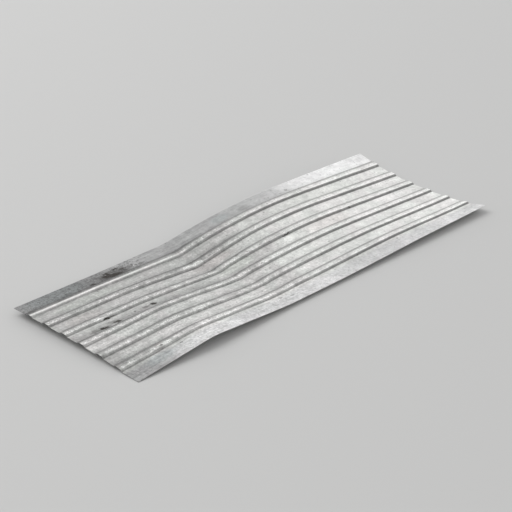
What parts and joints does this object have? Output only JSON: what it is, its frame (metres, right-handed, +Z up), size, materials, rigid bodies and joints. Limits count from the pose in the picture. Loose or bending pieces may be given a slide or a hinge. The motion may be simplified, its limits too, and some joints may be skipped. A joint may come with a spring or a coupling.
{
  "type": "corrugated metal sheet",
  "caption": "Used low-rib galvanised steel sheet for cladding or roofing: narrow flat-topped ribs between wide pans, creased across, arched at one end and sunken at the other",
  "frame": {"origin": "on the ground, under the middle of the sheet's length and width", "axes": "+X runs along the ribs from the arched end to the sunken end, +Y runs across from the front edge to the rear edge, +Z is up as the sheet lies"},
  "size_m": [2.4, 0.882, 0.0905],
  "materials": {
    "galvanised_steel": "dull weathered zinc coating with faint mottling, dark stains and small scuffs"
  },
  "bodies": {
    "root": {"corrugated_sheet": "galvanised_steel"}
  },
  "joints": []
}
